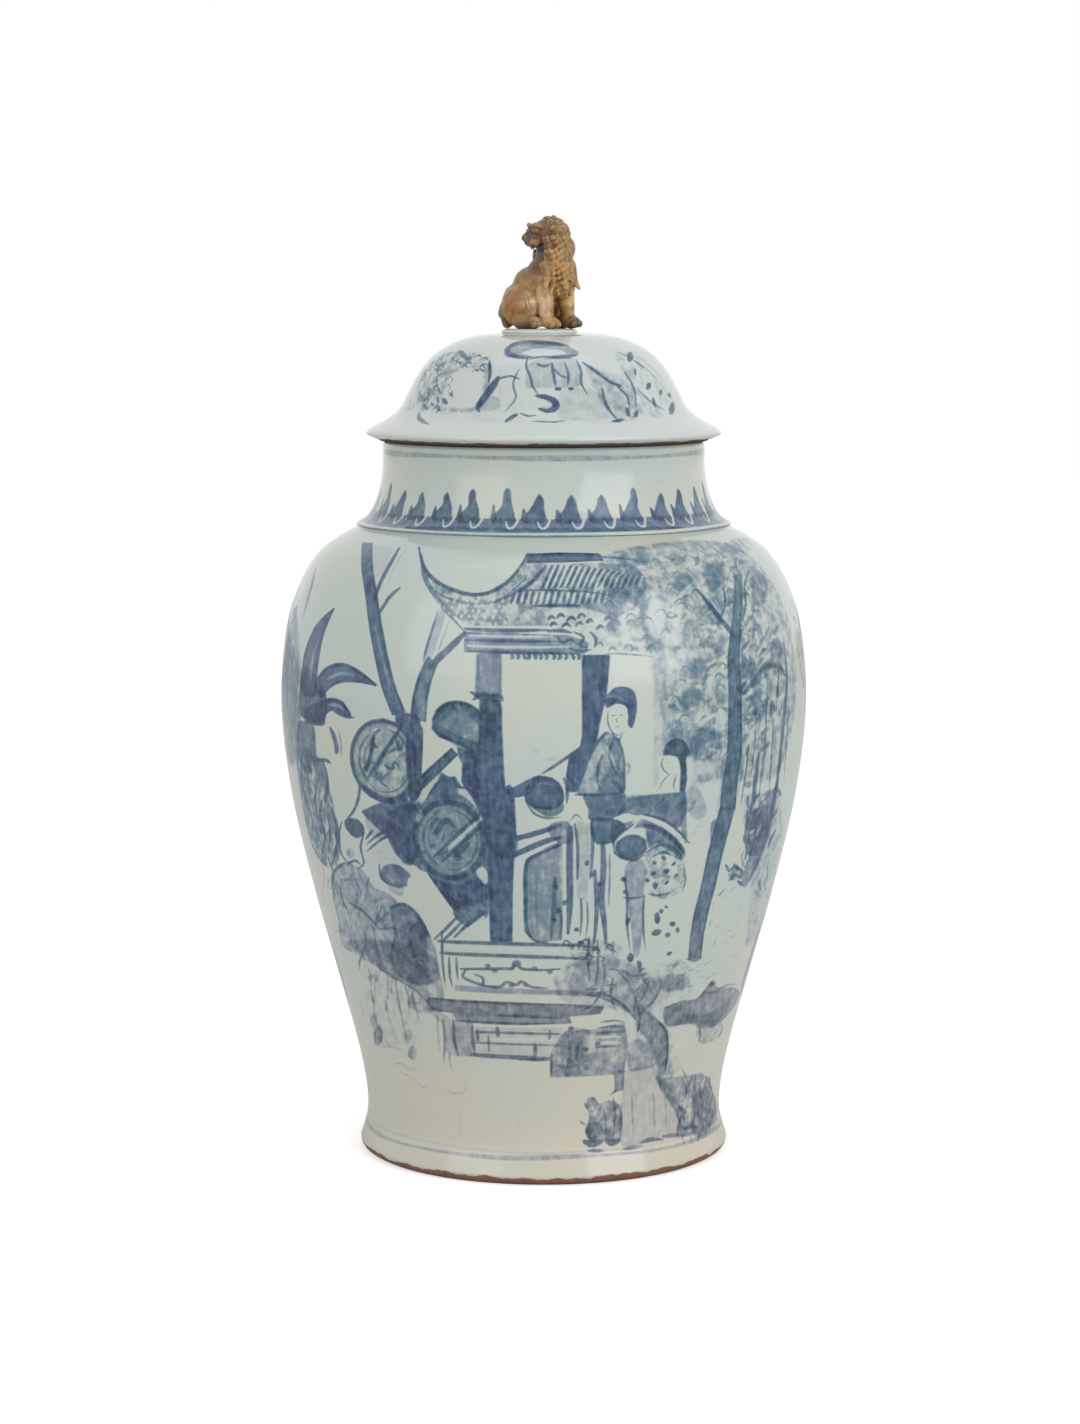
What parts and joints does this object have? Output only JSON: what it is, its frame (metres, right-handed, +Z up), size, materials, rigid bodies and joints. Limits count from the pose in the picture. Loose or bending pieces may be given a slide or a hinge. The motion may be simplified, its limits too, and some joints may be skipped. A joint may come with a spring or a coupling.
{
  "type": "covered vase",
  "caption": "Tall blue and white baluster vase with a domed, flared-rim cover that lifts off and a seated lion finial.",
  "frame": {"origin": "on the surface the vase stands on, at the centre of its foot, which is the middle of the bottom of the bounding box", "axes": "+Z up along the vase's axis, -Y towards the side with the painted pavilion, +X to the right of that side"},
  "size_m": [0.2702, 0.2702, 0.4796],
  "materials": {
    "vase_glaze": "clear glossy glaze over cobalt painting",
    "cover_glaze": "clear glossy glaze over cobalt painting",
    "bare_clay": "unglazed, fired to a warm buff",
    "gilt_glaze": "worn brown and gold enamel, satin"
  },
  "bodies": {
    "vase": {"lower_body": "vase_glaze", "upper_body": "vase_glaze", "neck": "vase_glaze"},
    "cover": {"cover_dome": "cover_glaze", "cover_flange": "bare_clay", "finial_plinth": "cover_glaze", "lion_body": "gilt_glaze", "lion_head": "gilt_glaze", "lion_tail": "gilt_glaze"}
  },
  "joints": [
    {"name": "cover_lift", "type": "slide", "parent": "vase", "child": "cover", "axis": [0, 0, 1], "range_m": [0, 0.15]}
  ]
}
